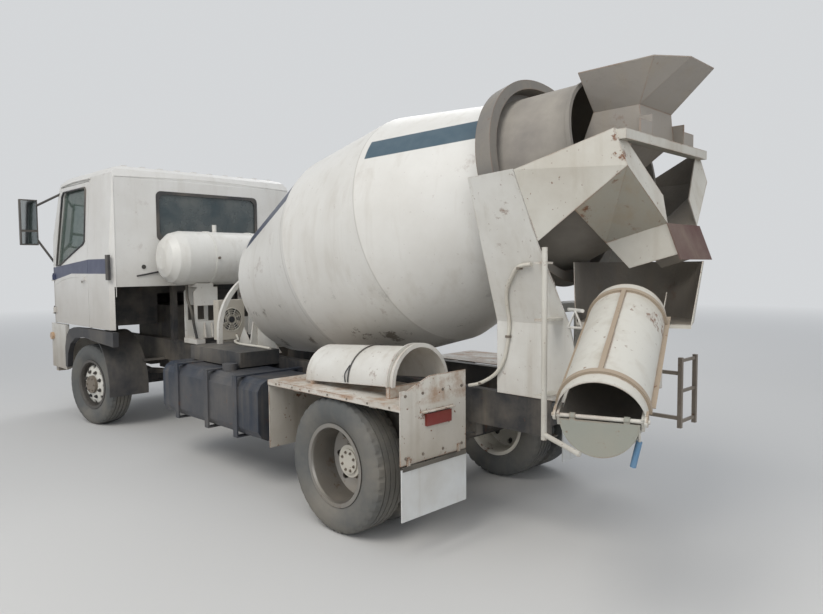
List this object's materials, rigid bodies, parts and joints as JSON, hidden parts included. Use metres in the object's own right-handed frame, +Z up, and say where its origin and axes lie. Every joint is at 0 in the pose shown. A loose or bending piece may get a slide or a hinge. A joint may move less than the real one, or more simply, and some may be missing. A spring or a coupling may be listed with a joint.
{
  "type": "concrete mixer truck",
  "caption": "Old two-axle concrete mixer truck with a white tilting cab, an inclined white drum, a charge hopper and a folded discharge chute.",
  "frame": {"origin": "on the ground, under the middle of the truck's length and width", "axes": "+X forward, +Y to the truck's left, +Z up"},
  "size_m": [7.536, 2.8, 2.8557],
  "materials": {
    "frame": "weathered paint with rust",
    "front_axle": "oily dark metal",
    "rear_axle": "oily dark metal",
    "driveline": "oily dark metal",
    "fuel_tank": "weathered paint with rust",
    "side_boxes": "weathered paint with rust",
    "rear_fenders": "weathered paint with rust",
    "lamps": "ribbed lens",
    "rubber_flaps": "dull rubber",
    "front_mudguards": "faded black plastic",
    "bumper": "weathered paint with rust",
    "water_tank": "weathered paint with rust",
    "tank_stand": "weathered paint with rust",
    "front_pedestal": "weathered paint with rust",
    "oil_cooler": "weathered paint with rust",
    "rear_pedestal": "weathered paint with rust",
    "collector": "weathered paint with rust",
    "charge_hopper": "weathered paint with rust",
    "spare_chute": "weathered paint with rust",
    "control_rod": "weathered paint with rust",
    "cab_shell": "weathered paint with rust",
    "cab_glass": "tinted, dusty",
    "cab_interior": "faded black plastic",
    "steering_wheel": "faded black plastic",
    "mirrors": "faded black plastic",
    "cab_trim": "faded black plastic",
    "door_left": "weathered paint with rust",
    "door_right": "weathered paint with rust",
    "door_glass_left": "tinted, dusty",
    "door_glass_right": "tinted, dusty",
    "knuckle_left": "oily dark metal",
    "knuckle_right": "oily dark metal",
    "tyre_front_left": "dusty rubber",
    "tyre_front_right": "dusty rubber",
    "rim_front_left": "weathered paint with rust",
    "rim_front_right": "weathered paint with rust",
    "tyres_rear_left": "dusty rubber",
    "tyres_rear_right": "dusty rubber",
    "rims_rear_left": "weathered paint with rust",
    "rims_rear_right": "weathered paint with rust",
    "mixing_drum": "weathered paint with rust",
    "drum_neck": "weathered paint with rust",
    "drum_ring": "weathered paint with rust",
    "roller_left": "worn steel",
    "roller_right": "worn steel",
    "chute_swivel": "worn steel",
    "main_chute": "weathered paint with rust",
    "chute_extension": "weathered paint with rust",
    "chute_flap": "weathered paint with rust",
    "rear_ladder": "weathered paint with rust",
    "chute_bowl": "weathered paint with rust"
  },
  "bodies": {
    "chassis": {"frame": "frame", "front_axle": "front_axle", "rear_axle": "rear_axle", "driveline": "driveline", "fuel_tank": "fuel_tank", "side_boxes": "side_boxes", "rear_fenders": "rear_fenders", "lamps": "lamps", "rubber_flaps": "rubber_flaps", "front_mudguards": "front_mudguards", "bumper": "bumper", "water_tank": "water_tank", "tank_stand": "tank_stand", "front_pedestal": "front_pedestal", "oil_cooler": "oil_cooler", "rear_pedestal": "rear_pedestal", "collector": "collector", "charge_hopper": "charge_hopper", "spare_chute": "spare_chute", "control_rod": "control_rod", "rear_ladder": "rear_ladder"},
    "cab": {"cab_shell": "cab_shell", "cab_glass": "cab_glass", "cab_interior": "cab_interior", "mirrors": "mirrors", "cab_trim": "cab_trim"},
    "steering_wheel_body": {"steering_wheel": "steering_wheel"},
    "left_door": {"door_left": "door_left", "door_glass_left": "door_glass_left"},
    "right_door": {"door_right": "door_right", "door_glass_right": "door_glass_right"},
    "left_knuckle": {"knuckle_left": "knuckle_left"},
    "right_knuckle": {"knuckle_right": "knuckle_right"},
    "front_left_wheel": {"tyre_front_left": "tyre_front_left", "rim_front_left": "rim_front_left"},
    "front_right_wheel": {"tyre_front_right": "tyre_front_right", "rim_front_right": "rim_front_right"},
    "rear_left_wheels": {"tyres_rear_left": "tyres_rear_left", "rims_rear_left": "rims_rear_left"},
    "rear_right_wheels": {"tyres_rear_right": "tyres_rear_right", "rims_rear_right": "rims_rear_right"},
    "drum": {"mixing_drum": "mixing_drum", "drum_neck": "drum_neck", "drum_ring": "drum_ring"},
    "left_roller": {"roller_left": "roller_left"},
    "right_roller": {"roller_right": "roller_right"},
    "chute_post": {"chute_swivel": "chute_swivel", "chute_bowl": "chute_bowl"},
    "chute": {"main_chute": "main_chute"},
    "folded_chute": {"chute_extension": "chute_extension"},
    "end_flap": {"chute_flap": "chute_flap"}
  },
  "joints": [
    {"name": "cab_tilt", "type": "hinge", "parent": "chassis", "child": "cab", "pos_m": [3.61419, 0, 0.96], "axis": [0, 1, 0], "range_deg": [0, 40]},
    {"name": "door_left_hinge", "type": "hinge", "parent": "cab", "child": "left_door", "pos_m": [3.51719, 1.092, 1.5], "axis": [0, 0, -1], "range_deg": [0, 68]},
    {"name": "door_right_hinge", "type": "hinge", "parent": "cab", "child": "right_door", "pos_m": [3.51719, -1.092, 1.5], "axis": [0, 0, 1], "range_deg": [0, 68]},
    {"name": "steering_left", "type": "hinge", "parent": "chassis", "child": "left_knuckle", "pos_m": [2.61419, 0.79, 0.433], "axis": [0, 0, 1], "range_deg": [-44, 26]},
    {"name": "steering_right", "type": "hinge", "parent": "chassis", "child": "right_knuckle", "pos_m": [2.61419, -0.79, 0.433], "axis": [0, 0, 1], "range_deg": [-44, 26]},
    {"name": "steering_wheel_turn", "type": "hinge", "parent": "cab", "child": "steering_wheel_body", "pos_m": [3.16019, -0.5, 1.7573], "axis": [-0.8669, 0, 0.4985], "continuous": true},
    {"name": "wheel_front_left", "type": "hinge", "parent": "left_knuckle", "child": "front_left_wheel", "pos_m": [2.59229, 0.92828, 0.433], "axis": [-0.1564, 0.9877, 0], "continuous": true},
    {"name": "wheel_front_right", "type": "hinge", "parent": "right_knuckle", "child": "front_right_wheel", "pos_m": [2.63609, -0.92828, 0.433], "axis": [-0.1564, 0.9877, 0], "continuous": true},
    {"name": "wheels_rear_left", "type": "hinge", "parent": "chassis", "child": "rear_left_wheels", "pos_m": [-1.67581, 0.814, 0.433], "axis": [0, 1, 0], "continuous": true},
    {"name": "wheels_rear_right", "type": "hinge", "parent": "chassis", "child": "rear_right_wheels", "pos_m": [-1.67581, -0.814, 0.433], "axis": [0, 1, 0], "continuous": true},
    {"name": "drum_turn", "type": "hinge", "parent": "chassis", "child": "drum", "pos_m": [-1.63981, 0, 1.971], "axis": [-0.9703, 0, 0.2419], "continuous": true},
    {"name": "roller_left_turn", "type": "hinge", "parent": "chassis", "child": "left_roller", "pos_m": [-2.72778, 0.35459, 1.55496], "axis": [-0.9703, 0, 0.2419], "continuous": true},
    {"name": "roller_right_turn", "type": "hinge", "parent": "chassis", "child": "right_roller", "pos_m": [-2.72778, -0.35459, 1.55496], "axis": [-0.9703, 0, 0.2419], "continuous": true},
    {"name": "chute_swing", "type": "hinge", "parent": "chassis", "child": "chute_post", "pos_m": [-3.16081, 0, 1.08], "axis": [0, 0, 1], "range_deg": [0, 138]},
    {"name": "chute_lift", "type": "hinge", "parent": "chute_post", "child": "chute", "pos_m": [-3.23834, 0.21654, 1.24], "axis": [-0.9415, -0.3371, 0], "range_deg": [-10, 15]},
    {"name": "chute_fold", "type": "hinge", "parent": "chute", "child": "folded_chute", "pos_m": [-3.58141, 1.17469, 1.05037], "axis": [-0.9415, -0.3371, 0], "range_deg": [0, 175]},
    {"name": "end_flap_hinge", "type": "hinge", "parent": "chute", "child": "end_flap", "pos_m": [-3.58141, 1.17469, 1.05037], "axis": [0.9415, 0.3371, 0], "range_deg": [0, 80]}
  ],
  "couplings": [
    {"joint": "steering_right", "follows": "steering_left", "ratio": 1}
  ]
}
